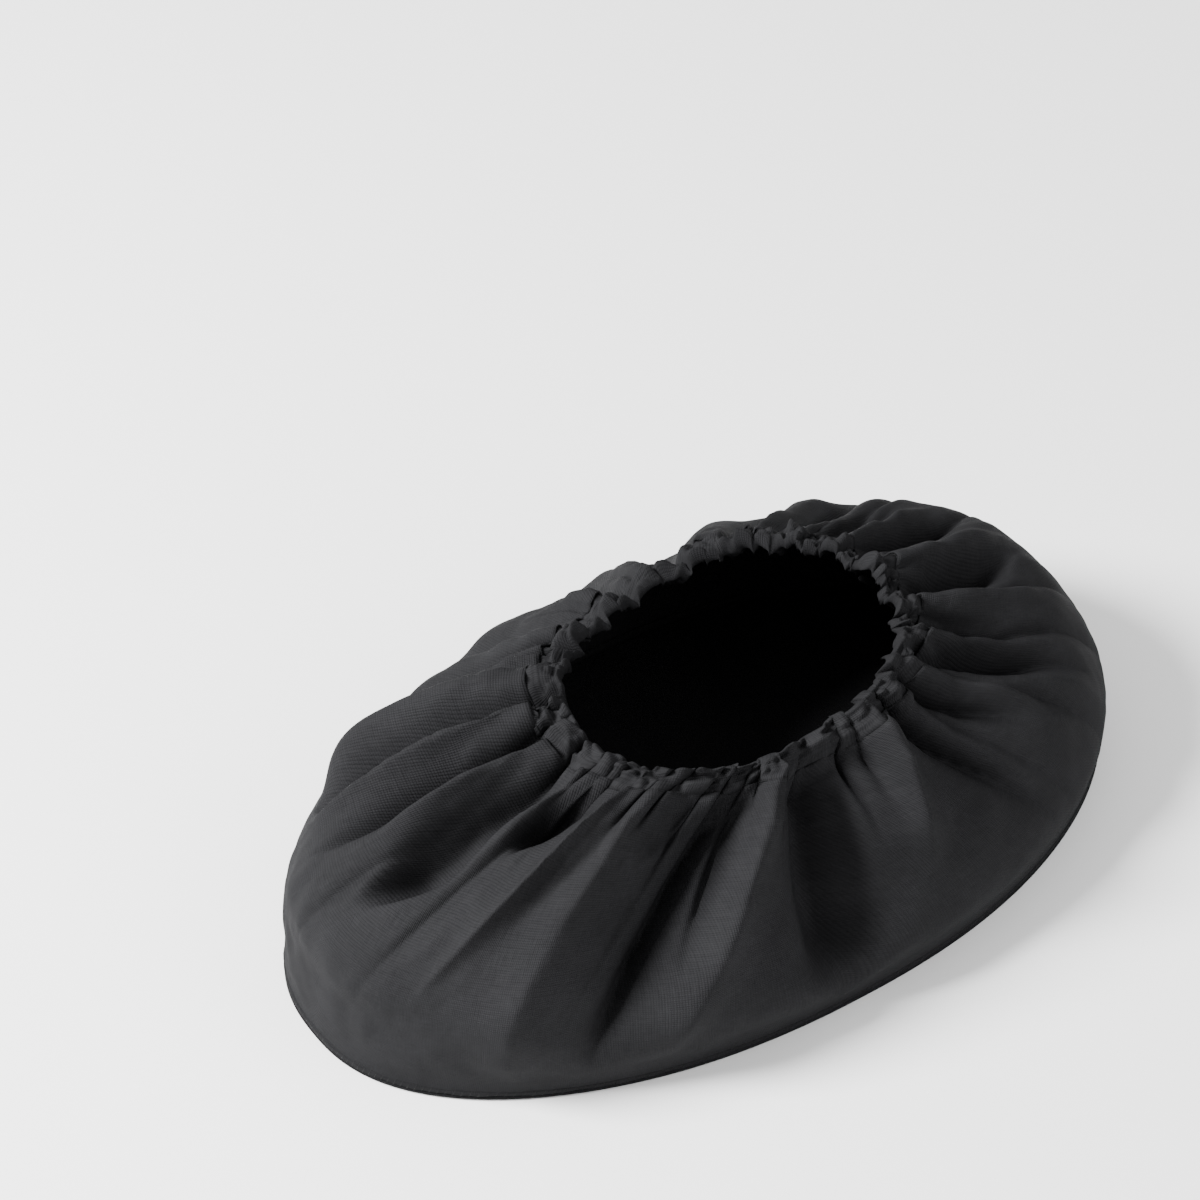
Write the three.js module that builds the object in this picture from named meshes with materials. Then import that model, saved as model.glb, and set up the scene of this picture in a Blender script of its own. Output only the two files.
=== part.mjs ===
// A reusable cloth overshoe: a flat sole, a gathered upper, the turned hem that holds the elastic of
// the opening, and the narrow seam that joins the upper to the sole.
// Millimetres, +Z up. The toe points along +X, and the origin lies under the middle of the sole.
import * as THREE from "three";
import { mergeVertices } from "three/addons/utils/BufferGeometryUtils.js";

// Driving sizes
const SOLE_LENGTH = 300;
const SOLE_WIDTH = 174;
const SOLE_THICKNESS = 1.5;
const CLOTH_THICKNESS = 1.4;
const OPENING_LENGTH = 116;
const OPENING_WIDTH = 82;
const OPENING_HEIGHT = 82; // the hem's top edge above the floor
const OPENING_SETBACK = 8.5; // the opening's middle, behind the sole's
const OPENING_OFFSET = 2.5; // and towards +Y
const OPENING_YAW = 6; // degrees that the opening is turned on the sole
const HEM_DEPTH = 10; // from the stitch line to the top edge
const HEM_THICKNESS = 3; // two layers of cloth round the elastic
const SEAM_WIDTH = 2.4;
const SEAM_HEIGHT = 2.2;
const FOLD_DEPTH = 9; // a fold whose depth in the table is 1
const PUCKER_DEPTH = 1.9; // the small gathers at the elastic
const PUCKER_RUN = 17; // how far they reach down the upper
const GAP = 0.3; // between pieces that touch

// Steps of the faceted surfaces
const TURN_STEPS = 180;
const RISE_STEPS = 10;
const ROW_CROWDING = 0.8; // under 1, the rows crowd towards the hem
const EDGE_STEPS = 80;
const SEAM_SIDES = 6;

// The sole's outline is a rounded oblong: power squares its corners, and taper and pinch narrow it
// towards the toe and towards both ends, as shares of the half width.
const SOLE_SHAPE = { power: 0.834, taper: -0.048, pinch: -0.135 };
const OPENING_POWER = 0.92;
const OPENING_SADDLE = 2.2; // the opening's ends stand this much above its sides

// How the wall rises at the toe, the sides and the heel. lean and shoulderIn are shares of the run
// from the sole's edge to the opening, positive inwards. shoulderUp is a share of the wall's height,
// and brow is the share of the climb above the shoulder that is made by the middle of the top.
const PROFILES = {
  toe: { lean: 0.045, shoulderIn: 0.04, shoulderUp: 0.48, brow: 0.67 },
  side: { lean: -0.1, shoulderIn: 0.155, shoulderUp: 0.51, brow: 0.59 },
  heel: { lean: 0.042, shoulderIn: 0.27, shoulderUp: 0.73, brow: 0.38 },
};

// The folds that run down from the elastic. top and foot are degrees round the opening, from the toe
// by way of +Y, at the hem and at the fold's lower end. reach is where it ends, as a share of the
// rise. width is half its width in degrees. depth is a share of FOLD_DEPTH: a valley is positive, and
// a ridge negative.
const FOLDS = [
  { top: 4, foot: 357, reach: 0.6, width: 6.5, depth: 0.95 },
  { top: 17, foot: 4, reach: 0.6, width: 5, depth: -0.45 },
  { top: 25, foot: 16, reach: 0.78, width: 4.5, depth: 0.6 },
  { top: 31, foot: 23, reach: 0.72, width: 4.5, depth: -0.45 },
  { top: 38, foot: 48, reach: 0.06, width: 9, depth: -0.3 },
  { top: 48, foot: 50, reach: 0.72, width: 5, depth: 0.35 },
  { top: 64, foot: 59, reach: 0.42, width: 6.5, depth: 0.85 },
  { top: 70.5, foot: 67, reach: 0.45, width: 4, depth: 0.6 },
  { top: 76, foot: 66, reach: 0.3, width: 4.5, depth: -0.5 },
  { top: 86, foot: 87, reach: 0.12, width: 5.5, depth: 1 },
  { top: 95, foot: 94, reach: 0.6, width: 4, depth: 0.3 },
  { top: 102, foot: 98, reach: 0.5, width: 5, depth: -0.4 },
  { top: 110, foot: 117, reach: 0.28, width: 5, depth: 0.6 },
  { top: 121, foot: 128, reach: 0.55, width: 5, depth: 0.75 },
  { top: 127, foot: 133, reach: 0.5, width: 4.5, depth: -0.4 },
  { top: 134, foot: 146, reach: 0.36, width: 5, depth: 0.75 },
  { top: 149, foot: 150, reach: 0.58, width: 5, depth: 0.5 },
  { top: 157, foot: 164, reach: 0.5, width: 5, depth: -0.35 },
  { top: 165, foot: 177, reach: 0.54, width: 5.5, depth: 0.75 },
  { top: 176, foot: 182, reach: 0.5, width: 5.5, depth: -0.5 },
  { top: 190, foot: 196, reach: 0.42, width: 5, depth: 0.65 },
  { top: 204, foot: 207, reach: 0.5, width: 5.5, depth: 0.55 },
  { top: 213, foot: 213, reach: 0.45, width: 5, depth: -0.4 },
  { top: 223, foot: 221, reach: 0.33, width: 5.5, depth: 0.75 },
  { top: 240, foot: 236, reach: 0.5, width: 5, depth: 0.6 },
  { top: 249, foot: 247, reach: 0.3, width: 5, depth: -0.35 },
  { top: 257, foot: 258, reach: 0.2, width: 5.5, depth: 0.85 },
  { top: 272, foot: 271, reach: 0.42, width: 5, depth: 0.6 },
  { top: 281, foot: 280, reach: 0.4, width: 5, depth: -0.35 },
  { top: 291, foot: 288, reach: 0.3, width: 5.5, depth: 0.75 },
  { top: 305, foot: 301, reach: 0.56, width: 5, depth: 0.45 },
  { top: 315, foot: 311, reach: 0.5, width: 4.5, depth: -0.45 },
  { top: 328, foot: 313, reach: 0.38, width: 5.5, depth: 0.95 },
  { top: 340, foot: 322, reach: 0.38, width: 5.5, depth: -0.55 },
  { top: 349, foot: 345, reach: 0.8, width: 4.5, depth: 0.4 },
];

// The gathers at the elastic are three waves round the opening. The counts share no factor, so the
// gathers come out uneven. share is each wave's part of PUCKER_DEPTH.
const PUCKERS = [
  { count: 41, phase: 0.4, share: 0.45 },
  { count: 29, phase: 2.1, share: 0.33 },
  { count: 18, phase: 4.4, share: 0.22 },
];

const { cos, sin, abs, sign, exp, PI } = Math;
const toRadians = THREE.MathUtils.degToRad;
const clamp = THREE.MathUtils.clamp;
const smoothstep = THREE.MathUtils.smoothstep;
const sharpen = (x, power) => sign(x) * abs(x) ** power;

// Heights at which the pieces stand on each other
const SEAM_FOOT = SOLE_THICKNESS + GAP;
const UPPER_FOOT = SEAM_FOOT + SEAM_HEIGHT + GAP;

// A point of the sole's outline, moved inwards by inset
function solePoint(angle, inset, z) {
  const along = sharpen(cos(angle), SOLE_SHAPE.power);
  const across = sharpen(sin(angle), SOLE_SHAPE.power);
  const share = 1 + SOLE_SHAPE.taper * along + SOLE_SHAPE.pinch * along * along;
  const x = (SOLE_LENGTH / 2 - inset) * along;
  const y = (SOLE_WIDTH / 2 - inset) * share * across;
  return new THREE.Vector3(x, y, z);
}

// A point of the opening's rim, at the top edge of the hem
function openingPoint(angle) {
  const along = (OPENING_LENGTH / 2) * sharpen(cos(angle), OPENING_POWER);
  const across = (OPENING_WIDTH / 2) * sharpen(sin(angle), OPENING_POWER);
  const yaw = toRadians(OPENING_YAW);
  return new THREE.Vector3(
    along * cos(yaw) - across * sin(yaw) - OPENING_SETBACK,
    along * sin(yaw) + across * cos(yaw) + OPENING_OFFSET,
    OPENING_HEIGHT - OPENING_SADDLE * sin(angle) ** 2,
  );
}

// The profile in one direction: the toe's or the heel's, changing to the side's as the angle turns
function profileAt(angle) {
  const end = cos(angle) > 0 ? PROFILES.toe : PROFILES.heel;
  const turned = sin(angle) ** 2;
  const mixed = {};
  for (const key of Object.keys(end)) {
    mixed[key] = THREE.MathUtils.lerp(end[key], PROFILES.side[key], turned);
  }
  return mixed;
}

// The value at share s of a smooth curve through evenly spaced values, straight at both ends
function through(values, s) {
  const last = values.length - 1;
  const i = Math.min(Math.floor(s * last), last - 1);
  const f = s * last - i;
  const a = values[i];
  const b = values[i + 1];
  const slopeA = i > 0 ? (b - values[i - 1]) / 2 : b - a;
  const slopeB = i < last - 1 ? (values[i + 2] - a) / 2 : b - a;
  const bend = f * f * (3 - 2 * f);
  return a * (1 - bend) + b * bend + slopeA * f * (1 - f) ** 2 - slopeB * f * f * (1 - f);
}

// The smooth form without folds: rise is 0 at the upper's foot and 1 at the top edge of the hem
function formPoint(angle, rise) {
  const { lean, shoulderIn, shoulderUp, brow } = profileAt(angle);
  const foot = solePoint(angle, 0, UPPER_FOOT);
  const rim = openingPoint(angle);
  const inwards = through([0, lean, shoulderIn, (1 + shoulderIn) / 2, 1], rise);
  const browUp = shoulderUp + (1 - shoulderUp) * brow;
  const upwards = through([0, shoulderUp / 2, shoulderUp, browUp, 1], rise);
  return new THREE.Vector3(
    THREE.MathUtils.lerp(foot.x, rim.x, inwards),
    THREE.MathUtils.lerp(foot.y, rim.y, inwards),
    THREE.MathUtils.lerp(foot.z, rim.z, upwards),
  );
}

// The smooth form's outward unit normal
const ANGLE_REACH = toRadians(1);
const RISE_REACH = 0.01;
function formNormal(angle, rise) {
  const low = clamp(rise - RISE_REACH, 0, 1);
  const high = clamp(rise + RISE_REACH, 0, 1);
  const round = formPoint(angle + ANGLE_REACH, rise).sub(formPoint(angle - ANGLE_REACH, rise));
  const up = formPoint(angle, high).sub(formPoint(angle, low));
  return round.cross(up).normalize();
}

// Millimetres of cloth to a whole rise, near the hem
function slant(angle) {
  const near = 0.9;
  return formPoint(angle, 1).distanceTo(formPoint(angle, near)) / (1 - near);
}

// The rise of the stitch line under the hem
const stitchRise = (angle) => 1 - HEM_DEPTH / slant(angle);

// How deep the folds press the cloth in. Each fold's middle drifts from top to foot, it fades in above
// its foot, and it eases under the stitch line, where the gathers take over.
function foldDepth(angle, rise) {
  const degrees = THREE.MathUtils.radToDeg(angle);
  const easing = 1 - 0.6 * smoothstep(rise, 0.86, 1);
  let depth = 0;
  for (const fold of FOLDS) {
    const down = clamp((1 - rise) / (1 - fold.reach), 0, 1);
    const drift = ((((fold.foot - fold.top + 180) % 360) + 360) % 360) - 180;
    const middle = fold.top + drift * down;
    const away = ((((degrees - middle + 180) % 360) + 360) % 360) - 180;
    const across = exp(-((abs(away) / fold.width) ** 1.6));
    depth += fold.depth * across * smoothstep(1 - down, 0, 0.35);
  }
  return FOLD_DEPTH * depth * easing;
}

// How far the gathers push the cloth out, fading down the upper
function puckerHeight(angle, rise) {
  let wave = 0;
  for (const { count, phase, share } of PUCKERS) wave += share * sin(count * angle + phase);
  const below = Math.max(stitchRise(angle) - rise, 0) * slant(angle);
  return PUCKER_DEPTH * wave * exp(-((below / PUCKER_RUN) ** 2));
}

// The cloth's outer face, with its folds and gathers. They fade out at the foot, so that the foot
// stays on the sole's outline.
function clothPoint(angle, rise) {
  const push = puckerHeight(angle, rise) - foldDepth(angle, rise);
  const footFade = smoothstep(rise, 0, 0.12);
  return formPoint(angle, rise).addScaledVector(formNormal(angle, rise), push * footFade);
}

// A closed ring surface. Row i holds the points of ring i, each ring runs once round the part, and
// the last ring joins the first, so the rows trace the section once.
function ringGeometry(rings) {
  const count = rings[0].length;
  const positions = rings.flat().flatMap((p) => [p.x, p.y, p.z]);
  const index = [];
  rings.forEach((_, i) => {
    const next = (i + 1) % rings.length;
    for (let j = 0; j < count; j++) {
      const k = (j + 1) % count;
      const [a, b, c, d] = [i * count + j, i * count + k, next * count + k, next * count + j];
      index.push(a, b, c, a, c, d);
    }
  });
  const geometry = new THREE.BufferGeometry();
  geometry.setAttribute("position", new THREE.Float32BufferAttribute(positions, 3));
  geometry.setIndex(index);
  geometry.computeVertexNormals();
  return geometry;
}

const anglesIn = (steps) => Array.from({ length: steps }, (_, j) => (2 * PI * j) / steps);

// The upper: one wall of cloth from the seam to the stitch line. Its foot is a flat rim on the seam.
// Its inner face lies behind the outer along the smooth form's normal, so no fold crosses itself.
function upperGeometry() {
  const angles = anglesIn(TURN_STEPS);
  const outer = [];
  const inner = [];
  for (let i = 0; i <= RISE_STEPS; i++) {
    const share = (i / RISE_STEPS) ** ROW_CROWDING;
    const pairs = angles.map((angle) => {
      const rise = share * (stitchRise(angle) - GAP / slant(angle));
      const face = clothPoint(angle, rise);
      const back = face.clone().addScaledVector(formNormal(angle, rise), -CLOTH_THICKNESS);
      if (i === 0) back.z = face.z;
      return { face, back };
    });
    outer.push(pairs.map((pair) => pair.face));
    inner.push(pairs.map((pair) => pair.back));
  }
  return ringGeometry([...outer, ...inner.reverse()]);
}

// The hem: the cloth turned over the elastic. Its section is a band that rounds over at the top.
// up is a share of the hem's depth and back a share of its thickness.
const HEM_SECTION = [
  { up: 0, back: 0 },
  { up: 0.5, back: -0.12 },
  { up: 0.88, back: 0.05 },
  { up: 1, back: 0.5 },
  { up: 0.88, back: 0.95 },
  { up: 0, back: 1 },
];
function hemGeometry() {
  const angles = anglesIn(TURN_STEPS);
  const rings = HEM_SECTION.map(({ up, back }) =>
    angles.map((angle) => {
      const rise = THREE.MathUtils.lerp(stitchRise(angle), 1, up);
      return clothPoint(angle, rise).addScaledVector(formNormal(angle, rise), -back * HEM_THICKNESS);
    }),
  );
  return ringGeometry(rings);
}

// The sole seam: a narrow rolled edge between the sole and the upper's foot
function seamGeometry() {
  const rings = [];
  for (let i = 0; i < SEAM_SIDES; i++) {
    const turn = (2 * PI * i) / SEAM_SIDES;
    const inset = (SEAM_WIDTH / 2) * (1 - cos(turn));
    const z = SEAM_FOOT + (SEAM_HEIGHT / 2) * (1 + sin(turn) / sin(PI / 3));
    rings.push(anglesIn(EDGE_STEPS).map((angle) => solePoint(angle, inset, z)));
  }
  return ringGeometry(rings);
}

// The sole: a flat panel of cloth on the sole's outline
function soleGeometry() {
  const outline = anglesIn(EDGE_STEPS).map((angle) => {
    const { x, y } = solePoint(angle, 0, 0);
    return new THREE.Vector2(x, y);
  });
  const panel = new THREE.ExtrudeGeometry(new THREE.Shape(outline), {
    depth: SOLE_THICKNESS,
    bevelEnabled: false,
    curveSegments: 1,
  });
  panel.deleteAttribute("normal");
  panel.deleteAttribute("uv");
  const merged = mergeVertices(panel);
  merged.computeVertexNormals();
  return merged;
}

// Black plain-weave polyester, a little darker where it is doubled
const cloth = new THREE.MeshStandardMaterial({ color: 0x2b2b2d, roughness: 0.85, metalness: 0 });
const doubledCloth = new THREE.MeshStandardMaterial({ color: 0x272729, roughness: 0.88, metalness: 0 });
const soleCloth = new THREE.MeshStandardMaterial({ color: 0x222224, roughness: 0.9, metalness: 0 });

function addPiece(group, name, geometry, material) {
  const piece = new THREE.Mesh(geometry, material);
  piece.name = name;
  group.add(piece);
}

const overshoe = new THREE.Group();
addPiece(overshoe, "sole", soleGeometry(), soleCloth);
addPiece(overshoe, "sole_seam", seamGeometry(), doubledCloth);
addPiece(overshoe, "upper", upperGeometry(), cloth);
addPiece(overshoe, "gathered_hem", hemGeometry(), doubledCloth);

export default overshoe;
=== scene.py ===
"""A black cloth overshoe: a flat sole, the seam round it, a gathered upper and a ruched elastic hem.

Metres, +Z up. The toe points along +X, and the origin lies under the middle of the sole. Round the
overshoe, an angle of 0 is the toe, 90 degrees the side towards +Y, and 180 degrees the heel.
"""

import math

import bpy
import numpy as np
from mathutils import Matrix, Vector


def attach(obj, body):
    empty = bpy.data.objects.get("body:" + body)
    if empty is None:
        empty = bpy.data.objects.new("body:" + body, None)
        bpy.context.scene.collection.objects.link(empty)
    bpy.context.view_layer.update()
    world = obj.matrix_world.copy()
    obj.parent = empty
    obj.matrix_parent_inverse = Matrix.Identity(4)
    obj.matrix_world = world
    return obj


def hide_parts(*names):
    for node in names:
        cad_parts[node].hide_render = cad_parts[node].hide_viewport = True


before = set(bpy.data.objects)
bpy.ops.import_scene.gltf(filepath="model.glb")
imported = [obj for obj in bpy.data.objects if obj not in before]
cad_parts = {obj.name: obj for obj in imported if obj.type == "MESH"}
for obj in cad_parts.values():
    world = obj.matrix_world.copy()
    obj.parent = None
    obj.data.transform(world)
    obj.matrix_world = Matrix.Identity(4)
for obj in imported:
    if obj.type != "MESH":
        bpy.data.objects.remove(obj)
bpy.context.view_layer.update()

# The camera looks down on the overshoe from in front of its toe's near side, from far enough off to
# flatten it a little, as a product photograph does.
CAMERA_AZIMUTH = math.radians(145.2)
CAMERA_ELEVATION = math.radians(44.7)
CAMERA_DISTANCE = 1.2214
CAMERA_AIM = Vector((0.0079, -0.0464, 0.0739))
LENS_MM = 113.6

back = Vector(
    (
        math.sin(CAMERA_AZIMUTH) * math.cos(CAMERA_ELEVATION),
        -math.cos(CAMERA_AZIMUTH) * math.cos(CAMERA_ELEVATION),
        math.sin(CAMERA_ELEVATION),
    )
)
camera_data = bpy.data.cameras.new("camera")
camera_data.lens = LENS_MM
camera = bpy.data.objects.new("camera", camera_data)
camera.location = CAMERA_AIM + CAMERA_DISTANCE * back
camera.rotation_euler = (-back).to_track_quat("-Z", "Y").to_euler()
bpy.context.collection.objects.link(camera)
bpy.context.scene.camera = camera

# The studio: a pale floor, a pale surround that lights from everywhere, a large soft lamp high over the
# toe, and a weaker one over the near side.
FLOOR_SIZE = 8
FLOOR_DROP = 0.0002  # under the sole, so that the two don't share a plane
FLOOR_COLOUR = (0.92, 0.92, 0.92, 1)
FLOOR_ROUGHNESS = 0.9
SURROUND_STRENGTH = 0.91
LAMPS = [
    {"name": "toe_lamp", "at": (1.06, -0.45, 1.02), "size": 0.6, "watts": 97},
    {"name": "side_lamp", "at": (-0.7, 1.2, 0.9), "size": 1.2, "watts": 16},
]

floor_material = bpy.data.materials.new("floor")
floor_material.use_nodes = True
floor_shader = floor_material.node_tree.nodes["Principled BSDF"]
floor_shader.inputs["Base Color"].default_value = FLOOR_COLOUR
floor_shader.inputs["Roughness"].default_value = FLOOR_ROUGHNESS
floor_mesh = bpy.data.meshes.new("floor")
edge = FLOOR_SIZE / 2
corners = [(-edge, -edge), (edge, -edge), (edge, edge), (-edge, edge)]
floor_mesh.from_pydata([(x, y, -FLOOR_DROP) for x, y in corners], [], [(0, 1, 2, 3)])
floor_mesh.materials.append(floor_material)
floor = bpy.data.objects.new("floor", floor_mesh)
bpy.context.collection.objects.link(floor)

world = bpy.data.worlds.new("surround")
world.use_nodes = True
world.node_tree.nodes["Background"].inputs["Strength"].default_value = SURROUND_STRENGTH
world.node_tree.nodes["Background"].inputs["Color"].default_value = (1, 1, 1, 1)
bpy.context.scene.world = world

for lamp in LAMPS:
    lamp_data = bpy.data.lights.new(lamp["name"], "AREA")
    lamp_data.shape = "DISK"
    lamp_data.size = lamp["size"]
    lamp_data.energy = lamp["watts"]
    lamp_object = bpy.data.objects.new(lamp["name"], lamp_data)
    lamp_object.location = lamp["at"]
    lamp_object.rotation_euler = (-Vector(lamp["at"])).to_track_quat("-Z", "Y").to_euler()
    bpy.context.collection.objects.link(lamp_object)

# The sole is one flat panel of coated plain-weave cloth, cut to a rounded oblong that is a little
# narrower at its toe. Nothing stiffens it, so its middle lies slightly uneven.
SOLE_LENGTH = 0.3
SOLE_WIDTH = 0.174
SOLE_THICKNESS = 0.0015
SOLE_POWER = 0.834  # under 1 it squares the oblong's corners
SOLE_TAPER = -0.048  # the width that is lost from heel to toe, as a share
SOLE_PINCH = -0.135  # and from the middle to both ends
SOLE_TURNS = 240
SOLE_RINGS = 40
SOLE_RING_POWER = 0.8  # under 1, the rings lie a little closer near the edge
SOLE_EDGE_ROUNDING = 0.0006
SOLE_UNEVENNESS = 0.00035
SOLE_WAVE_ALONG = 38  # radians per metre, like the next two
SOLE_WAVE_ACROSS = 55
SOLE_WAVE_ASLANT = 90
SOLE_WAVE_STARTS = (1, 0.4)  # of the first two, in radians
# The cloth's finish: the size of its yarns, streaks and clouds on the flat cloth, and what they weigh
YARN_PITCH = 0.0007
STREAK_SCALES = ((160, 1500, 1), (1500, 160, 1))  # per metre: long one way and thin the other
CLOUD_SCALE = 38.0
TONE = {"slubs": 0.8, "clouds": 0.5, "yarns": 0.3, "start": -0.3}
ROUGHNESS_SPREAD = {"slubs": 0.16, "clouds": 0.12}
SLUB_RELIEF = 1.2  # against the height of a yarn
CLOTH_DARK = (0.0048, 0.0048, 0.0052)
CLOTH_IOR = 1.3
CLOTH_SHINE = 0.06  # the specular level: dull black cloth mirrors next to nothing


def sharpen(x, power):
    """The sign of x times its size to a power."""
    return np.sign(x) * np.abs(x) ** power


def outline(angle, inset):
    """The sole's outline: a superellipse whose width changes along its length, moved inwards by inset."""
    along = sharpen(np.cos(angle), SOLE_POWER)
    across = sharpen(np.sin(angle), SOLE_POWER)
    share = 1 + SOLE_TAPER * along + SOLE_PINCH * along**2
    return (SOLE_LENGTH / 2 - inset) * along, (SOLE_WIDTH / 2 - inset) * share * across


def full_turn(steps):
    """Evenly spaced angles round the overshoe."""
    return np.arange(steps) * (2 * math.pi / steps)


def add_piece(name, points, cut, material, closed_rows=False):
    """Makes a mesh from a grid of points, rows by columns, whose last column joins its first. cut holds
    each point's place on the flat cloth, in metres, with one more column than points for the join."""
    rows, columns = points.shape[:2]
    row = np.arange(rows if closed_rows else rows - 1)[:, None]
    column = np.arange(columns)[None, :]
    next_row = (row + 1) % rows
    next_column = (column + 1) % columns
    ring = [row * columns + column, row * columns + next_column]
    ring += [next_row * columns + next_column, next_row * columns + column]
    faces = np.stack(ring, axis=-1).reshape(-1, 4)
    cut_row = np.minimum(row + 1, cut.shape[0] - 1)
    corner_cut = [cut[row, column], cut[row, column + 1]]
    corner_cut += [cut[cut_row, column + 1], cut[cut_row, column]]
    mesh = bpy.data.meshes.new(name)
    mesh.vertices.add(rows * columns)
    mesh.vertices.foreach_set("co", points.reshape(-1).astype(np.float32))
    mesh.loops.add(faces.size)
    mesh.loops.foreach_set("vertex_index", faces.reshape(-1).astype(np.int32))
    mesh.polygons.add(len(faces))
    mesh.polygons.foreach_set("loop_start", np.arange(len(faces), dtype=np.int32) * 4)
    mesh.update(calc_edges=True)
    uv = mesh.uv_layers.new(name="cut")
    uv.data.foreach_set("uv", np.stack(corner_cut, axis=2).reshape(-1).astype(np.float32))
    mesh.polygons.foreach_set("use_smooth", np.ones(len(faces), dtype=bool))
    mesh.materials.append(material)
    piece = bpy.data.objects.new(name, mesh)
    bpy.context.collection.objects.link(piece)
    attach(piece, "root")
    return piece


class Socket:
    """One output of a shader node. Python's operators on it add the Math nodes that work them out."""

    def __init__(self, tree, output):
        self.tree = tree
        self.output = output

    def node(self, kind, settings, inputs, output=0):
        """Adds a node: its settings first, then a value or a link for each named or numbered input."""
        made = self.tree.nodes.new(kind)
        for name, value in settings.items():
            setattr(made, name, value)
        for name, value in inputs.items():
            if isinstance(value, Socket):
                self.tree.links.new(value.output, made.inputs[name])
            else:
                made.inputs[name].default_value = value
        return Socket(self.tree, made.outputs[output])

    def math(self, operation, *values):
        return self.node("ShaderNodeMath", {"operation": operation}, dict(enumerate(values)))

    def __add__(self, other):
        return self.math("ADD", self, other)

    def __sub__(self, other):
        return self.math("SUBTRACT", self, other)

    def __rsub__(self, other):
        return self.math("SUBTRACT", other, self)

    def __mul__(self, other):
        return self.math("MULTIPLY", self, other)

    def __abs__(self):
        return self.math("ABSOLUTE", self)

    def sine(self):
        return self.math("SINE", self)

    __radd__ = __add__
    __rmul__ = __mul__


def cloth_finish(name, light, roughness, relief):
    """Black plain weave. On the flat cloth each yarn is a ridge, the size of a sine, both ways, and the
    product of the two sines says which one lies on top. Noise drawn out both ways makes some yarns
    thicker, and broad noise is wear. Their weighted sum runs from the dark colour to the light one, and
    yarns and thicker yarns stand up, relief metres high."""
    material = bpy.data.materials.new(name)
    material.use_nodes = True
    tree = material.node_tree
    shader = tree.nodes["Principled BSDF"]
    cut = Socket(tree, tree.nodes.new("ShaderNodeUVMap").outputs["UV"])
    cut.output.node.uv_map = "cut"
    across = cut.node("ShaderNodeSeparateXYZ", {}, {0: cut}, 0) * (math.pi / YARN_PITCH)
    up = cut.node("ShaderNodeSeparateXYZ", {}, {0: cut}, 1) * (math.pi / YARN_PITCH)
    over = across.sine() * up.sine() * 0.5 + 0.5
    yarns = abs(across.sine()) * over + abs(up.sine()) * (1 - over)
    streaks = []
    for scale in STREAK_SCALES:
        stretched = cut.node("ShaderNodeMapping", {}, {"Vector": cut, "Scale": scale})
        noise = {"Vector": stretched, "Scale": 1.0, "Detail": 2.0}
        streaks.append(cut.node("ShaderNodeTexNoise", {}, noise))
    slubs = (streaks[0] + streaks[1]) * 0.5
    clouds = cut.node("ShaderNodeTexNoise", {}, {"Vector": cut, "Scale": CLOUD_SCALE, "Detail": 4.0})
    tone = slubs * TONE["slubs"] + clouds * TONE["clouds"] + yarns * TONE["yarns"] + TONE["start"]
    mix = {0: tone, 6: (*CLOTH_DARK, 1), 7: (*light, 1)}
    colour = cut.node("ShaderNodeMix", {"data_type": "RGBA"}, mix, 2)
    tree.links.new(colour.output, shader.inputs["Base Color"])
    rough = roughness + (slubs - 0.5) * ROUGHNESS_SPREAD["slubs"]
    rough = rough + (clouds - 0.5) * ROUGHNESS_SPREAD["clouds"]
    tree.links.new(rough.output, shader.inputs["Roughness"])
    height = yarns + slubs * SLUB_RELIEF
    bump = {"Height": height, "Strength": 1.0, "Distance": relief}
    normal = cut.node("ShaderNodeBump", {}, bump)
    tree.links.new(normal.output, shader.inputs["Normal"])
    shader.inputs["IOR"].default_value = CLOTH_IOR
    shader.inputs["Specular IOR Level"].default_value = CLOTH_SHINE
    return material


def sole_grid():
    """Rings from the middle of the underside out to the edge, round it, and back to the middle on top.
    A ring is the outline times a share, and the middle's ring is a point. The top rises and falls by
    a product of slow waves along and across, plus one aslant, which fades out at the edge."""
    angle = full_turn(SOLE_TURNS)[None, :]
    share = np.linspace(0, 1, SOLE_RINGS)[:, None] ** SOLE_RING_POWER
    x, y = outline(angle, 0)
    inset = 1 - SOLE_EDGE_ROUNDING / (SOLE_WIDTH / 2)
    along = np.sin(SOLE_WAVE_ALONG * x * share + SOLE_WAVE_STARTS[0])
    across = np.cos(SOLE_WAVE_ACROSS * y * share + SOLE_WAVE_STARTS[1])
    wave = along * across + np.sin(SOLE_WAVE_ASLANT * (x + y) * share)
    top = SOLE_THICKNESS - SOLE_UNEVENNESS * (1 + wave / 2) * (1 - share**6)
    middle = SOLE_THICKNESS / 2 + 0 * x
    under = np.stack([x * share * inset, y * share * inset, 0 * x * share], axis=-1)
    edge_ring = np.stack([x, y, middle], axis=-1)
    upper_side = np.stack([x * share * inset, y * share * inset, top], axis=-1)[::-1]
    return np.concatenate([under, edge_ring, upper_side])


sole_points = sole_grid()
sole_cut = np.concatenate([sole_points[..., :2], sole_points[:, :1, :2]], axis=1)
# The sole's colour is partly painted shade: its light colour is set below the upper's, so that the sole
# seen through the opening stays as dark as the shaded inside of the overshoe.
sole_cloth = cloth_finish("sole_cloth", light=(0.0142, 0.0142, 0.015), roughness=0.8, relief=0.0001)
sole = add_piece("sole_panel", sole_points, sole_cut, sole_cloth)
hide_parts("sole")

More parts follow.
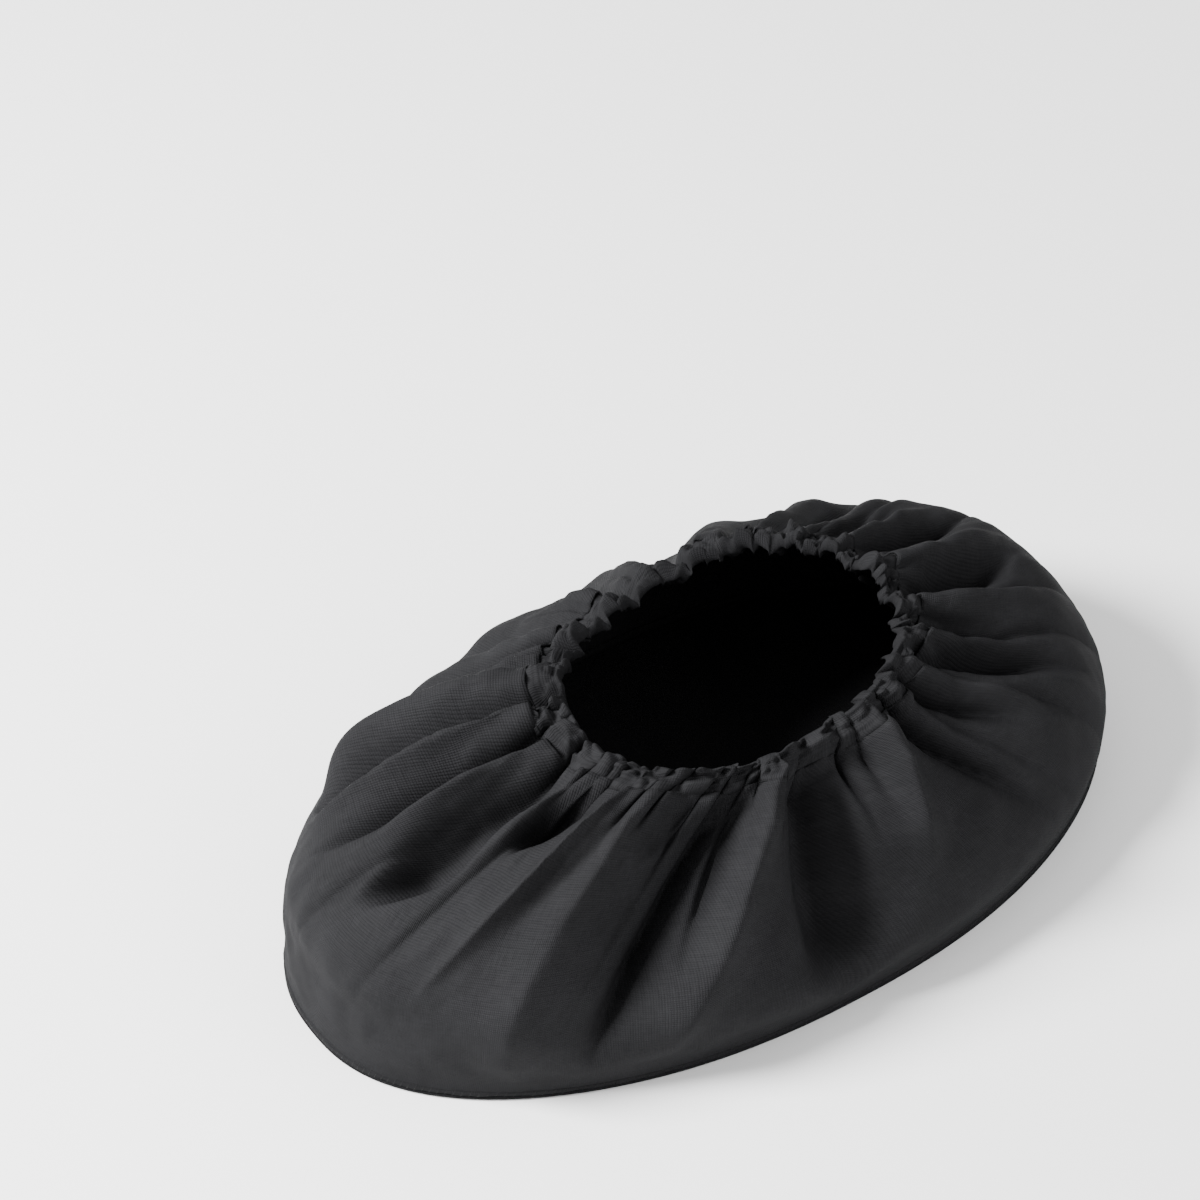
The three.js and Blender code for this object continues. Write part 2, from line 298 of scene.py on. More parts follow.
# The upper is one wall of thin cloth, sewn to the sole's edge and drawn together under the hem of the
# opening. It is cut much longer round than the hem is, and the surplus stands in folds that run down
# from the hem and open out into the full sides and toe.
OPENING_LENGTH = 0.116
OPENING_WIDTH = 0.082
OPENING_HEIGHT = 0.082
OPENING_SETBACK = 0.0085
OPENING_OFFSET = 0.0025
OPENING_YAW = math.radians(6)
OPENING_POWER = 0.92
OPENING_SADDLE = 0.0022
HEM_DEPTH = 0.010
UPPER_FOOT = 0.0032
UPPER_TUCK = 0.0004  # how far its foot lies inside the seam
UPPER_TURNS = 560
UPPER_ROWS = 76
UPPER_ROW_POWER = 0.92  # under 1, the rows lie a little closer near the hem
UPPER_THICKNESS = 0.0006
UPPER_FINISH = {"light": (0.0198, 0.0198, 0.0211), "roughness": 0.7, "relief": 0.00016}
# How the wall rises at the toe, the sides and the heel, as shares of its run inwards and its height
PROFILES = {
    "toe": {"lean": 0.03, "shoulder_in": 0.09, "shoulder_up": 0.5, "brow": 0.66},
    "side": {"lean": -0.1, "shoulder_in": 0.155, "shoulder_up": 0.51, "brow": 0.59},
    "heel": {"lean": 0.042, "shoulder_in": 0.27, "shoulder_up": 0.73, "brow": 0.38},
}
# The folds. top and foot are their place in degrees at the hem and at their lower end, and reach is the
# share of the rise where they end. wide and narrow are half their width in degrees, at the top and at
# the foot. edge is 1 for a sharp crease and 3 for a pocket with a flat bottom. depth is in metres,
# inwards, so a crest's is negative. The columns are in that order.
FOLDS = [
    (4, 359.5, 0.57, 6.4, 7, 3.4, 0.0195),
    (10, 4.5, 0.62, 2.4, 2.8, 1.3, -0.004),
    (14, 5, 0.62, 2.5, 3, 1.3, -0.0057),
    (16, 11, 0.3, 1.2, 2, 1.2, 0.0028),
    (22, 21, 0.86, 5, 4, 2, -0.0046),
    (25, 16, 0.74, 4.6, 4.2, 2.6, 0.0135),
    (32, 24, 0.46, 2.8, 3, 1.2, -0.011),
    (39, 46, 0.06, 7, 7, 1.4, -0.0095),
    (46, 44, 0.86, 3, 3, 2, -0.0046),
    (49, 50, 0.74, 4, 4, 1.6, 0.0078),
    (55, 52, 0.3, 1.6, 2, 1.2, 0.0035),
    (56, 54, 0.8, 3, 3, 2, -0.0046),
    (64.5, 57.5, 0.14, 4.4, 2.6, 1.4, 0.0195),
    (70.5, 67, 0.42, 2.2, 1.6, 1.3, 0.0117),
    (77, 68, 0.12, 3.4, 4.5, 1.6, -0.0085),
    (82, 86, 0.1, 1.2, 1.6, 1.2, -0.002),
    (86.5, 89, 0.08, 5.8, 1.7, 1.8, 0.0225),
    (91.5, 92, 0.35, 1.8, 2.2, 1.4, -0.006),
    (94, 93, 0.68, 2, 1.6, 1.15, 0.0102),
    (98.5, 97, 0.64, 2, 1.6, 1.15, 0.0094),
    (104, 98, 0.4, 3, 3, 1.4, -0.0095),
    (110, 119, 0.22, 3.5, 2, 1.15, 0.0151),
    (116, 116, 0.84, 4, 4, 2, -0.0055),
    (118, 124, 0.12, 1.4, 2, 1.1, 0.0038),
    (121, 129, 0.5, 4, 2.4, 1.15, 0.0176),
    (127, 133, 0.48, 3, 3.5, 1.6, -0.0083),
    (128, 140, 0.1, 1.4, 2, 1.1, 0.0045),
    (131, 145, 0.2, 2.6, 4, 1.5, -0.003),
    (134, 147, 0.34, 4, 2.4, 1.15, 0.0192),
    (140, 149, 0.5, 2.6, 3.5, 1.6, -0.0068),
    (144, 160, 0.14, 1.4, 2.2, 1.1, 0.0048),
    (149, 151, 0.56, 3.2, 2.4, 1.15, 0.0133),
    (157, 164, 0.5, 3.6, 4, 1.8, -0.0068),
    (161, 171, 0.2, 1.4, 2.4, 1.1, 0.0045),
    (165, 178, 0.5, 4.5, 3, 1.5, 0.0171),
    (176, 183, 0.5, 4, 4, 1.8, -0.0096),
    (189, 197, 0.38, 3.2, 2.4, 1.15, 0.0176),
    (196, 202, 0.55, 3.6, 4, 1.8, -0.0068),
    (206, 208, 0.55, 3.6, 3, 1.4, 0.0078),
    (210, 214, 0.15, 1.6, 2.4, 1.2, 0.004),
    (213, 213, 0.4, 5, 6, 2, -0.005),
    (223, 221, 0.4, 4, 3, 1.4, 0.0065),
    (231, 229, 0.4, 4.5, 5, 2, -0.004),
    (240, 237, 0.5, 4, 3, 1.4, 0.006),
    (249, 247, 0.3, 5, 6, 2, -0.004),
    (258, 258, 0.25, 4, 2.6, 1.4, 0.008),
    (262, 264, 0.1, 1.6, 2.4, 1.2, 0.004),
    (266, 265, 0.4, 5, 5, 2, -0.004),
    (273, 271, 0.45, 4, 3, 1.4, 0.006),
    (281, 280, 0.35, 5, 6, 2, -0.004),
    (289, 287, 0.35, 3.5, 2.6, 1.4, 0.0065),
    (296, 294, 0.35, 4.5, 5, 2, -0.004),
    (300, 296, 0.15, 1.6, 2.4, 1.2, 0.004),
    (302, 299, 0.4, 2.6, 2.2, 1.3, 0.006),
    (309, 304, 0.3, 5, 6, 2, -0.005),
    (315, 309, 0.5, 2.4, 2.2, 1.3, 0.007),
    (322, 311, 0.38, 5, 6, 1.8, -0.0085),
    (322, 312, 0.34, 8, 8, 2, -0.003),
    (332, 319, 0.4, 2.6, 2.4, 1.6, 0.024),
    (339.5, 327, 0.4, 2.4, 3, 1.25, -0.0105),
    (346.5, 338, 0.5, 2.2, 2.4, 1.4, 0.019),
    (354, 346, 0.55, 2.4, 3, 1.3, -0.007),
    (356, 351, 0.25, 1.2, 2, 1.2, 0.003),
]
FOLD_TAPER = (-0.08, 0.3)  # the stretch at a fold's lower end, as shares of it, where it grows wide
FOLD_FADE = 0.7  # over its edge, this is the share of a fold where it grows deep
FOLD_EASE = 0.85  # the share of the folds that the hem smooths out
EASE_BETWEEN = (0.8, 1)  # in shares of the rise, like the other stretches below
FOOT_BETWEEN = (0, 0.12)  # where folds and crumples grow from nothing
# Crumples between the folds: cells round the overshoe, rows up it, and the cells by which they slant
CRUMPLE_HEIGHT = 0.0011
CRUMPLE_LEAST = 0.4  # of that height, low on the wall
CRUMPLE_GAIN = 1.1  # and this much more of it high up
GAIN_BETWEEN = (0.35, 0.9)
FINE_BETWEEN = (0.62, 0.9)
BROAD_CRUMPLES = {"cells": 64, "rows": 9, "twist": 1.5, "seed": 5}
MIDDLING_CRUMPLES = {"cells": 130, "rows": 17, "twist": 0, "seed": 6}
FINE_CRUMPLES = {"cells": 210, "rows": 34, "twist": 4, "seed": 7}
MIDDLING_SHARE = 0.5
FINE_SHARE = 0.6
STITCH_WAVER = {"cells": 40, "rows": 0, "twist": 0, "seed": 9}
STITCH_WAVER_SHARE = 0.14  # how far the stitch line wavers, of the hem's depth
SLANT_FROM = 0.9  # the rise from which the slant under the hem is measured
# The ruches: each one's width, size, lean and run are drawn by chance
RUCHE_COUNT = 50
RUCHE_SEED = 49935
RUCHE_WIDTHS = (0.3, 2.3)  # against each other
RUCHE_WIDE = 1.4  # a wider ruche stands out no further than this one
RUCHE_SIZE_POWER = 0.8  # of its width, which with a chance share gives a ruche's size
RUCHE_SIZES = (0.6, 1.3)
RUCHE_LEANS = (-0.9, 0.9)  # how far a crease drifts on its way up the hem, in ruches
RUCHE_RUNS = (0.008, 0.03)  # how far it reaches below the stitch line, in metres
RUCHE_HEIGHT = 0.004
RUCHE_CREASE = 0.42  # how deep the creases lie, as a share of that height
RUCHE_BLUNTNESS = 0.7  # the sine's power: under 1, a lobe is blunt and its creases are sharp
RUCHE_CROWDING = 0.0012
RUCHE_CRINKLES = {"cells": 140, "rows": 5, "twist": 0, "seed": 3}
RUCHE_KNOTS = {"cells": 128, "rows": 3, "twist": 1.5, "seed": 8}
CRINKLE_SHARE = 0.3  # of the ruches' height at the stitch line, and twice that at the top edge
KNOT_SHARE = 0.85
KNOT_MEAN = 0.35  # taken off, so that knots don't swell the hem


def through(values, s):
    """A smooth curve at s, from 0 to 1, through evenly spaced values: the cubic between two of them has
    their neighbours' mean slope at each, and both ends of the curve point along their own step."""
    knots = np.stack(np.broadcast_arrays(*values, s)[:-1])
    last = len(knots) - 1
    s = np.broadcast_to(s, knots.shape[1:])
    i = np.clip(np.floor(s * last).astype(int), 0, last - 1)
    f = s * last - i

    def knot(k):
        return np.take_along_axis(knots, np.clip(k, 0, last)[None], 0)[0]

    a, b = knot(i), knot(i + 1)
    slope_a = np.where(i > 0, (b - knot(i - 1)) / 2, b - a)
    slope_b = np.where(i < last - 1, (knot(i + 2) - a) / 2, b - a)
    bend = f * f * (3 - 2 * f)
    return a * (1 - bend) + b * bend + slope_a * f * (1 - f) ** 2 - slope_b * f * f * (1 - f)


def form(angle, rise):
    """The upper's smooth form. Each angle has its own profile, which blends the toe's or the heel's with
    the sides' by the sine squared. It runs from the sole's outline to the opening, a turned ellipse."""
    end = np.cos(angle) > 0
    turned = np.sin(angle) ** 2

    def share(key):
        ends = np.where(end, PROFILES["toe"][key], PROFILES["heel"][key])
        return ends * (1 - turned) + PROFILES["side"][key] * turned

    lean, shoulder_in, shoulder_up, brow = (share(key) for key in PROFILES["toe"])
    foot_x, foot_y = outline(angle, UPPER_TUCK)
    along = OPENING_LENGTH / 2 * sharpen(np.cos(angle), OPENING_POWER)
    across = OPENING_WIDTH / 2 * sharpen(np.sin(angle), OPENING_POWER)
    rim_x = along * math.cos(OPENING_YAW) - across * math.sin(OPENING_YAW) - OPENING_SETBACK
    rim_y = along * math.sin(OPENING_YAW) + across * math.cos(OPENING_YAW) + OPENING_OFFSET
    rim_z = OPENING_HEIGHT - OPENING_SADDLE * turned
    zero = 0 * turned
    inwards = through([zero, lean, shoulder_in, (1 + shoulder_in) / 2, zero + 1], rise)
    brow_up = shoulder_up + (1 - shoulder_up) * brow
    upwards = through([zero, shoulder_up / 2, shoulder_up, brow_up, zero + 1], rise)
    x = foot_x + (rim_x - foot_x) * inwards
    y = foot_y + (rim_y - foot_y) * inwards
    return np.stack([x, y, UPPER_FOOT + (rim_z - UPPER_FOOT) * upwards], axis=-1)


SLOPE_STEP = 0.01  # in radians of the angle, and in shares of the rise


def unit(vectors):
    """Each vector over its length."""
    return vectors / np.linalg.norm(vectors, axis=-1, keepdims=True)


def form_around(angle, rise):
    """The smooth form's direction round the overshoe: the difference over a small step of the angle."""
    return form(angle + SLOPE_STEP, rise) - form(angle - SLOPE_STEP, rise)


def form_normal(angle, rise):
    """Outwards from the smooth form: the cross product of its slopes round and up."""
    above = form(angle, np.minimum(rise + SLOPE_STEP, 1))
    under = form(angle, np.maximum(rise - SLOPE_STEP, 0))
    return unit(np.cross(form_around(angle, rise), above - under))


def smoothstep(x, low, high):
    """0 up to low, 1 from high on, and between them 3 t squared less 2 t cubed."""
    t = np.clip((x - low) / (high - low), 0, 1)
    return t * t * (3 - 2 * t)


def crumple(angle, up, cells, rows, twist, seed):
    """Smooth chance bumps and hollows, from -1 to 1: one chance value for each cell round the overshoe
    and row up it, blended between neighbours by a smoothstep. They slant by twist cells as up goes from
    0 to 1."""
    tall = 64  # rows of chance values, before they come round again
    values = np.random.default_rng(seed).uniform(-1, 1, (cells, tall))
    across, along = np.broadcast_arrays(angle * cells / (2 * math.pi) + twist * up, rows * up)
    i = np.floor(across).astype(int)
    j = np.floor(along).astype(int)
    f = smoothstep(across - i, 0, 1)
    g = smoothstep(along - j, 0, 1)

    def row_values(k):
        return values[i % cells, k % tall] * (1 - f) + values[(i + 1) % cells, k % tall] * f

    return row_values(j) * (1 - g) + row_values(j + 1) * g


def stitch_rise(angle):
    """The rise of the stitch line: 1, less the hem's depth over the slant that a whole rise has up
    there. The depth wavers a little round the opening."""
    low = SLANT_FROM + 0 * angle
    slant = np.linalg.norm(form(angle, 1 + 0 * angle) - form(angle, low), axis=-1) / (1 - low)
    return 1 - HEM_DEPTH * (1 + STITCH_WAVER_SHARE * crumple(angle, 0, **STITCH_WAVER)) / slant


def fold_push(angle, rise):
    """How far the folds and crumples stand out, in metres. Across, a fold is exp(-|away / width| **
    edge) round a line that drifts from its top to its foot, and both its width and its depth die away
    towards its lower end. Broad and middling crumples are added, more of them higher up, and fine ones
    near the hem. The hem smooths most of the folds out, and all of it dies away at the sole."""
    push = 0
    for top, foot, reach, wide, narrow, edge, depth in FOLDS:
        down = np.clip((1 - rise) / (1 - reach), 0, 1)
        middle = top + ((foot - top + 180) % 360 - 180) * down
        away = (np.degrees(angle) - middle + 180) % 360 - 180
        width = (wide + (narrow - wide) * down) * smoothstep(1 - down, *FOLD_TAPER)
        fade = smoothstep(1 - down, 0, FOLD_FADE / edge)
        push = push - depth * np.exp(-np.abs(away / width) ** edge) * fade
    coarse = crumple(angle, rise, **BROAD_CRUMPLES)
    coarse = coarse + MIDDLING_SHARE * crumple(angle, rise, **MIDDLING_CRUMPLES)
    strength = CRUMPLE_LEAST + CRUMPLE_GAIN * smoothstep(rise, *GAIN_BETWEEN)
    push = push + CRUMPLE_HEIGHT * coarse * strength
    fine = crumple(angle, rise, **FINE_CRUMPLES) * smoothstep(rise, *FINE_BETWEEN)
    push = push * (1 - FOLD_EASE * smoothstep(rise, *EASE_BETWEEN))
    return (push + FINE_SHARE * CRUMPLE_HEIGHT * fine) * smoothstep(rise, *FOOT_BETWEEN)


ruche_dice = np.random.default_rng(RUCHE_SEED)
ruche_widths = ruche_dice.uniform(*RUCHE_WIDTHS, RUCHE_COUNT)
ruche_starts = np.concatenate([[0], np.cumsum(ruche_widths)]) * (2 * math.pi / ruche_widths.sum())
ruche_sizes = np.minimum(ruche_widths, RUCHE_WIDE) ** RUCHE_SIZE_POWER
ruche_sizes = ruche_sizes * ruche_dice.uniform(*RUCHE_SIZES, RUCHE_COUNT)
ruche_leans = ruche_dice.uniform(*RUCHE_LEANS, RUCHE_COUNT)
ruche_runs = ruche_dice.uniform(*RUCHE_RUNS, RUCHE_COUNT)


def ruches(angle, up=0.0):
    """Rounded lobes of chance widths, with sharp creases between them: a lobe is half a sine to a power,
    over its own width. up, from 0 at the stitch line to 1 at the top edge, moves the creases sideways.
    Crinkles and knots, both chance bumps, break the lobes up. Returns the push outwards, and the push
    along the hem that crowds the lobes over the creases."""
    phase = np.interp(angle % (2 * math.pi), ruche_starts, np.arange(RUCHE_COUNT + 1))
    near = np.floor(phase).astype(int) % RUCHE_COUNT
    blend = phase % 1
    lean = ruche_leans[near] * (1 - blend) + ruche_leans[(near + 1) % RUCHE_COUNT] * blend
    phase = phase + lean * up
    size = ruche_sizes[np.floor(phase).astype(int) % RUCHE_COUNT]
    crinkle = crumple(angle, up, **RUCHE_CRINKLES) * (CRINKLE_SHARE + CRINKLE_SHARE * up)
    crinkle = crinkle + KNOT_SHARE * (np.abs(crumple(angle, up, **RUCHE_KNOTS)) - KNOT_MEAN)
    lobe = size * np.sin(math.pi * (phase % 1)) ** RUCHE_BLUNTNESS
    outwards = RUCHE_HEIGHT * (lobe - RUCHE_CREASE + crinkle)
    return outwards, -RUCHE_CROWDING * size * np.sin(2 * math.pi * phase)


def ruched(angle, rise, up, strength, push):
    """A point of the smooth form, pushed outwards, and by the ruches outwards and along the hem."""
    outwards, sideways = ruches(angle, up)
    out = form_normal(angle, rise) * (push + outwards * strength)[..., None]
    aside = unit(form_around(angle, rise)) * (sideways * strength)[..., None]
    return form(angle, rise) + out + aside


angles = full_turn(UPPER_TURNS)[None, :]
rises = np.linspace(0, 1, UPPER_ROWS)[:, None] ** UPPER_ROW_POWER * stitch_rise(angles)
smooth_form = form(angles, rises)
below = np.linalg.norm(smooth_form - smooth_form[-1:], axis=-1)
runs = np.interp(angles, ruche_starts, np.append(ruche_runs, ruche_runs[0]))
start = ruched(angles, rises, 0, np.exp(-((below / runs) ** 2)), fold_push(angles, rises))

# The cloth as it was cut: rings that stay nearly as long as they are at the shoulder, where the smooth
# form's grow short, with the same slant between rings. The simulation lets the cloth find its folds
# between the sole's edge and the hem from that surplus.
FULLNESS = 0.75  # the share of a ring's loss of length that the cut keeps as surplus
LEAST_STEP = 0.3  # of the slant, that the cut rises from one ring to the next
SIMULATION_SCALE = 10  # the cloth solver works best on things a metre or more long
SIMULATION_FRAMES = 26
HOLD_BODY = 0.45  # how firmly the wall between its edges is held to its folded form
HELD_FOOT_ROWS = 2


def ring_lengths(grid):
    """The length of each row of a grid of points, once round."""
    return np.linalg.norm(grid - np.roll(grid, 1, axis=1), axis=-1).sum(axis=1)


def cut_cloth(grid):
    """The flat cut stood up as a tube: each ring is scaled so that it has its full length, and set as
    high over the last as the slant between them leaves."""
    lengths = ring_lengths(grid)
    widest = lengths.max()
    after = np.arange(len(lengths)) > np.argmax(lengths)
    full = np.where(after, lengths + FULLNESS * (widest - lengths), lengths)
    centre = grid[..., :2].mean(axis=1, keepdims=True)
    flat = (grid[..., :2] - centre) * (full / lengths)[:, None, None]
    slant = np.linalg.norm(np.diff(grid, axis=0), axis=-1)
    inwards = np.linalg.norm(np.diff(flat, axis=0), axis=-1)
    steps = np.sqrt(np.maximum(slant**2 - inwards**2, (LEAST_STEP * slant) ** 2))
    height = np.concatenate([np.zeros((1, grid.shape[1])), np.cumsum(steps, axis=0)])
    return np.concatenate([flat, height[..., None]], axis=-1), full


def settle(grid, cut_shape):
    """Runs the cloth solver on the folded grid, held at its first and last rings and softly elsewhere,
    with the cut's lengths as its springs' rest lengths, and with the air inside it kept. Returns the
    settled grid."""
    turns = grid.shape[1]
    index = np.arange(grid.shape[0] * turns).reshape(-1, turns)
    faces = np.stack(
        [index[:-1], np.roll(index[:-1], -1, 1), np.roll(index[1:], -1, 1), index[1:]], axis=-1
    ).reshape(-1, 4)
    mesh = bpy.data.meshes.new("cloth_at_work")
    mesh.from_pydata((grid * SIMULATION_SCALE).reshape(-1, 3).tolist(), [], faces.tolist())
    cloth = bpy.data.objects.new("cloth_at_work", mesh)
    bpy.context.collection.objects.link(cloth)
    cloth.shape_key_add(name="worn")
    cut_key = cloth.shape_key_add(name="cut")
    cut_key.data.foreach_set("co", (cut_shape * SIMULATION_SCALE).reshape(-1))
    held = cloth.vertex_groups.new(name="held")
    held.add(index[HELD_FOOT_ROWS:-1].reshape(-1).tolist(), HOLD_BODY, "REPLACE")
    held.add(index[:HELD_FOOT_ROWS].reshape(-1).tolist(), 1.0, "REPLACE")
    held.add(index[-1:].reshape(-1).tolist(), 1.0, "REPLACE")
    modifier = cloth.modifiers.new("cloth", "CLOTH")
    settings = modifier.settings
    settings.rest_shape_key = cut_key
    settings.vertex_group_mass = "held"
    settings.pin_stiffness = 1.0
    settings.quality = 6
    settings.mass = 0.05
    settings.tension_stiffness = 60
    settings.compression_stiffness = 60
    settings.shear_stiffness = 10
    settings.bending_stiffness = 0.08
    settings.air_damping = 4
    settings.effector_weights.gravity = 0
    settings.use_pressure = True
    modifier.collision_settings.use_self_collision = False
    scene = bpy.context.scene
    modifier.point_cache.frame_start = 1
    modifier.point_cache.frame_end = SIMULATION_FRAMES
    for frame_number in range(1, SIMULATION_FRAMES + 1):
        scene.frame_set(frame_number)
    worn = cloth.evaluated_get(bpy.context.evaluated_depsgraph_get()).data
    settled = np.empty(grid.size)
    worn.vertices.foreach_get("co", settled)
    scene.frame_set(1)
    bpy.data.objects.remove(cloth)
    return settled.reshape(grid.shape) / SIMULATION_SCALE


cut_shape, ring_cut = cut_cloth(smooth_form)
upper_points = settle(start, cut_shape)
slants = np.linalg.norm(np.diff(smooth_form, axis=0), axis=-1).mean(axis=1)
cut_up = np.concatenate([[0], np.cumsum(slants)])
across_cut = np.linspace(-0.5, 0.5, UPPER_TURNS + 1)[None, :] * ring_cut[:, None]
upper_cut = np.stack([across_cut, np.broadcast_to(cut_up[:, None], across_cut.shape)], axis=-1)
upper_cloth = cloth_finish("upper_cloth", **UPPER_FINISH)
upper = add_piece("upper_cloth_wall", upper_points, upper_cut, upper_cloth)
wall = upper.modifiers.new("thickness", "SOLIDIFY")
wall.thickness = UPPER_THICKNESS
wall.offset = -1
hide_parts("upper")

# The hem is the upper's edge, turned inwards over a strip of elastic and stitched down below it. The
# elastic draws it together, so it stands in tight rounded ruches, creased between.
HEM_ROWS = 40
HEM_THICKNESS = 0.0028
HEM_PUFF = 0.0002
HEM_POWER = 0.6  # under 1, it squares the hem's top
HEM_TOP = 0.97  # the top edge's mean height, as a share of the hem's depth, like the next two
HEM_RAGGED = 0.1  # how far the top edge rises and falls
HEM_TUCK = 0.12  # how far both edges reach below the stitch line
HEM_TUCK_IN = 0.0005  # and how far the outer one sinks into the upper there
HEM_RAGGED_EDGE = {"cells": 90, "rows": 0, "twist": 0, "seed": 12}
HEM_CALM = 0.6  # the share of the ruches that is missing inside
HEM_TURN = (0.3, 0.7)  # the stretch of t where the hem turns inwards
HEM_TUCK_FROM = (0.44, 0.5)  # and where it tucks in, counted from its top edge
STITCH_UP = 0.1  # of the hem's depth
STITCH_LENGTH = 0.0021
STITCH_POINTS = 5
STITCH_BOW = 0.0002  # how far a stitch stands out at its middle
STITCH_SINK = 0.00005  # and lies in the cloth at its ends
STITCHES_PER_RUCHE = 4
THREAD_RADIUS = 0.00014
THREAD_SIDES = 6
THREAD_TIP = 0.05  # of the radius
THREAD_COLOUR = (0.0095, 0.0095, 0.01, 1)
THREAD_ROUGHNESS = 0.5


def hem_surface(angle, t):
    """The hem's surface: t runs from 0 at the stitch line outside, over the top edge at a half, to 1 at
    the stitch line inside. The height is a sine of t to a power, times a depth that wavers round the
    opening, and both ends tuck in below the stitch line. The way inwards is a smoothstep of t."""
    up = np.sin(math.pi * np.clip(t, 0, 1)) ** HEM_POWER
    inside = smoothstep(t, *HEM_TURN)
    tuck = smoothstep(np.abs(t - 0.5), *HEM_TUCK_FROM)
    foot = stitch_rise(angle)
    top = HEM_TOP + HEM_RAGGED * crumple(angle, 0, **HEM_RAGGED_EDGE)
    rise = foot + (1 - foot) * (up * top - HEM_TUCK * tuck)
    puff = HEM_PUFF * np.sin(math.pi * up) * (1 - 2 * inside) - HEM_TUCK_IN * tuck * (1 - inside)
    push = fold_push(angle, rise) + puff - HEM_THICKNESS * inside
    return ruched(angle, rise, up, 1 - HEM_CALM * inside, push)


def add_threads(name, paths, radius, material):
    """Short stitches: each path's points carry a ring of six corners, which shrinks to next to nothing at
    both ends. The rings stand across the path: one axis is the cross product of its direction with a
    slanted one that no stitch follows, and the other is square to both."""
    sides = THREAD_SIDES
    slanted = np.array([0.13, 0.29, 0.95])
    ahead = unit(np.gradient(paths, axis=1))
    aside = unit(np.cross(ahead, slanted))
    above = np.cross(aside, ahead)
    turn = full_turn(sides)[None, None, :, None]
    taper = np.ones(paths.shape[1])
    taper[[0, -1]] = THREAD_TIP
    spread = aside[:, :, None] * np.cos(turn) + above[:, :, None] * np.sin(turn)
    points = paths[:, :, None] + radius * taper[None, :, None, None] * spread
    count, steps = paths.shape[:2]
    index = np.arange(points[..., 0].size).reshape(count, steps, sides)
    here, there = index[:, :-1], index[:, 1:]
    faces = np.stack([here, np.roll(here, -1, 2), np.roll(there, -1, 2), there], axis=-1).reshape(-1, 4)
    caps = np.concatenate([index[:, 0, ::-1], index[:, -1]])
    mesh = bpy.data.meshes.new(name)
    mesh.from_pydata(points.reshape(-1, 3).tolist(), [], faces.tolist() + caps.tolist())
    mesh.polygons.foreach_set("use_smooth", np.ones(len(mesh.polygons), dtype=bool))
    mesh.materials.append(material)
    threads = bpy.data.objects.new(name, mesh)
    bpy.context.collection.objects.link(threads)
    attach(threads, "root")
    return threads


hem_t = np.linspace(0, 1, HEM_ROWS)[:, None]
hem_angles = full_turn(2 * UPPER_TURNS)[None, :]
hem_points = hem_surface(hem_angles, hem_t)
hem_up = np.linspace(0, 2 * HEM_DEPTH, HEM_ROWS)[:, None]
hem_across = np.linspace(-0.5, 0.5, 2 * UPPER_TURNS + 1)[None, :] * ring_cut[-1]
hem_cut = np.stack(np.broadcast_arrays(hem_across, hem_up + cut_up[-1]), axis=-1)
hem_cloth = cloth_finish("hem_cloth", **UPPER_FINISH)
hem = add_piece("ruched_hem", hem_points, hem_cut, hem_cloth, closed_rows=True)
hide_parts("gathered_hem")

thread = bpy.data.materials.new("sewing_thread")
thread.use_nodes = True
thread_shader = thread.node_tree.nodes["Principled BSDF"]
thread_shader.inputs["Base Color"].default_value = THREAD_COLOUR
thread_shader.inputs["Roughness"].default_value = THREAD_ROUGHNESS
thread_shader.inputs["Specular IOR Level"].default_value = CLOTH_SHINE
stitch_count = RUCHE_COUNT * STITCHES_PER_RUCHE
stitch_middle = full_turn(stitch_count)[:, None]
stitch_reach = STITCH_LENGTH / (OPENING_LENGTH + OPENING_WIDTH) * 2
stitch_along = np.linspace(-1, 1, STITCH_POINTS)[None, :]
stitch_angle = stitch_middle + stitch_along * stitch_reach
stitch_t = np.full(stitch_angle.shape, math.asin(STITCH_UP ** (1 / HEM_POWER)) / math.pi)
stitch_paths = hem_surface(stitch_angle, stitch_t)
stitch_lift = STITCH_BOW * (1 - stitch_along**2) - STITCH_SINK
stitch_paths = stitch_paths + form_normal(stitch_angle, stitch_rise(stitch_angle)) * stitch_lift[..., None]
add_threads("hem_stitches", stitch_paths, THREAD_RADIUS, thread)

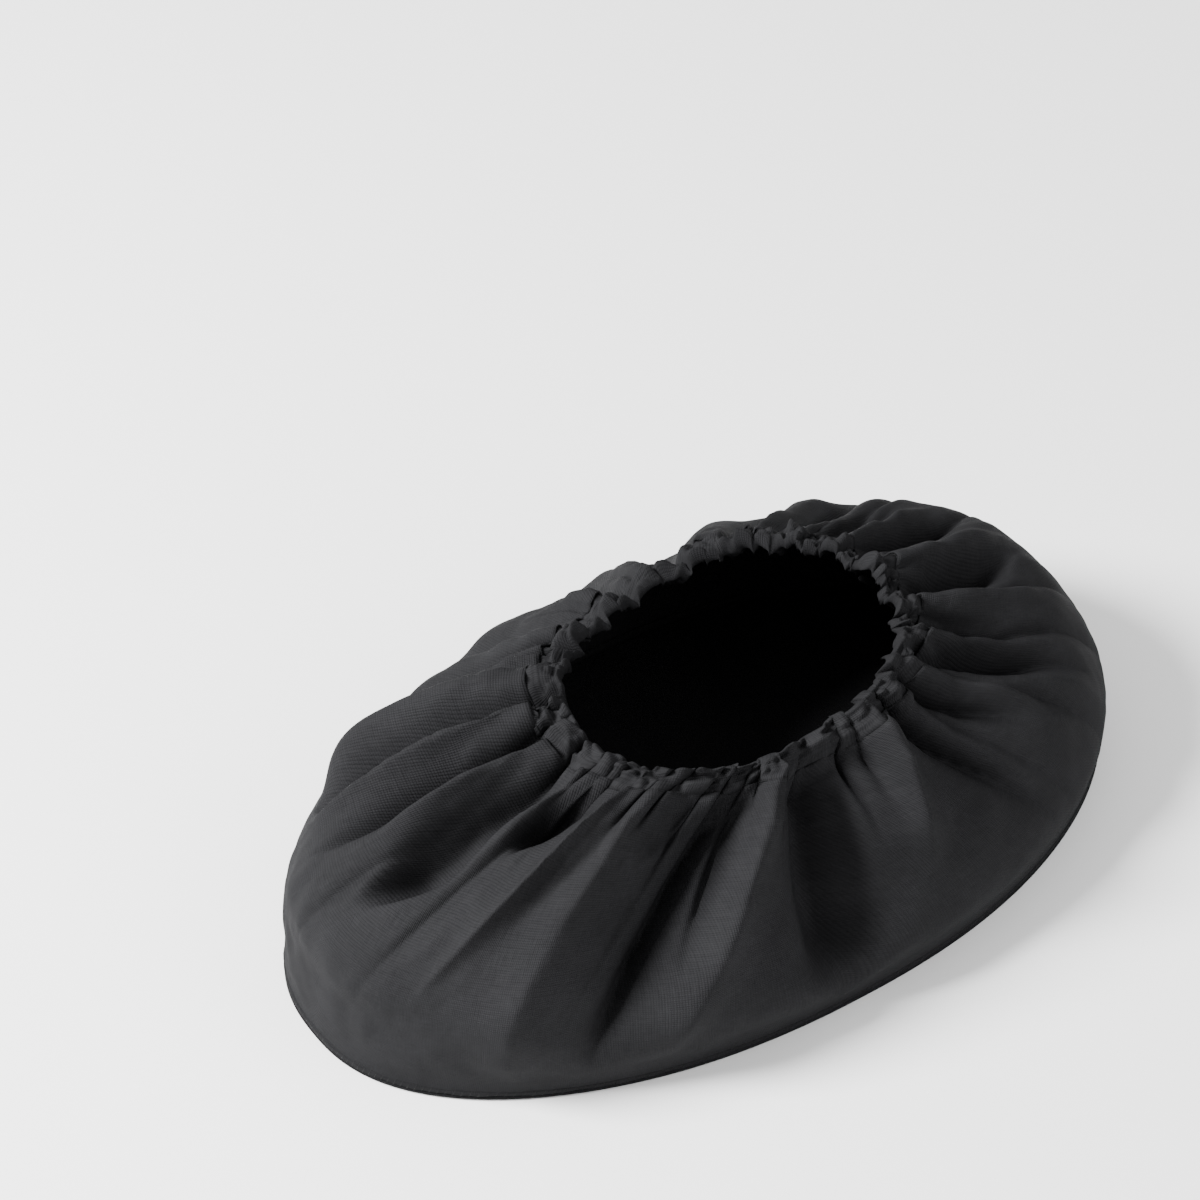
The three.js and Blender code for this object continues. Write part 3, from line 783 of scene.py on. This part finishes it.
# The sole seam joins the upper's foot to the sole: both edges are rolled into a narrow cord-like edge and
# overcast with thread all the way round.
SEAM_WIDTH = 0.0026
SEAM_FOOT = 0.0012
SEAM_TOP = 0.0048
SEAM_TURNS = 720
SEAM_SIDES = 14
SEAM_SWELLS = ((0.06, 31, 0), (0.05, 83, 1))  # share of its size, waves round, and start in radians
OVERCAST_SPACING = 0.0032
OVERCAST_SLANT = 0.0016
OVERCAST_ARC = (-0.45, 0.62)  # from where to where a stitch goes round the seam, in half turns
OVERCAST_POINTS = 7


def seam_surface(angle, turn):
    """A roll round the sole's outline: an ellipse at each angle, times one plus a sine or two, which make
    it thicker and thinner. turn runs round the section, from the outside by way of the top."""
    swell = 1
    for share, waves, begin in SEAM_SWELLS:
        swell = swell + share * np.sin(waves * angle + begin)
    x, y = outline(angle, SEAM_WIDTH / 2 * (1 - np.cos(turn) * swell))
    z = (SEAM_FOOT + SEAM_TOP) / 2 + (SEAM_TOP - SEAM_FOOT) / 2 * np.sin(turn) * swell
    return np.stack(np.broadcast_arrays(x, y, z), axis=-1)


seam_turn = full_turn(SEAM_SIDES)[:, None]
seam_points = seam_surface(full_turn(SEAM_TURNS)[None, :], seam_turn)
seam_length = ring_lengths(seam_points[:1])[0]
seam_across = np.linspace(-0.5, 0.5, SEAM_TURNS + 1)[None, :] * seam_length
seam_cut = np.stack(np.broadcast_arrays(seam_across, seam_turn * SEAM_WIDTH / 2), axis=-1)
seam_cloth = cloth_finish("seam_cloth", light=(0.0158, 0.0158, 0.0168), roughness=0.7, relief=0.00016)
seam = add_piece("rolled_sole_seam", seam_points, seam_cut, seam_cloth, closed_rows=True)
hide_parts("sole_seam")
overcast_count = int(seam_length / OVERCAST_SPACING)
overcast_turn = np.linspace(*OVERCAST_ARC, OVERCAST_POINTS)[None, :] * math.pi
overcast_along = np.linspace(-1, 1, OVERCAST_POINTS)[None, :]
overcast_slant = OVERCAST_SLANT / seam_length * 2 * math.pi * overcast_along
overcast_paths = seam_surface(full_turn(overcast_count)[:, None] + overcast_slant, overcast_turn)
add_threads("overcast_stitches", overcast_paths, THREAD_RADIUS, thread)
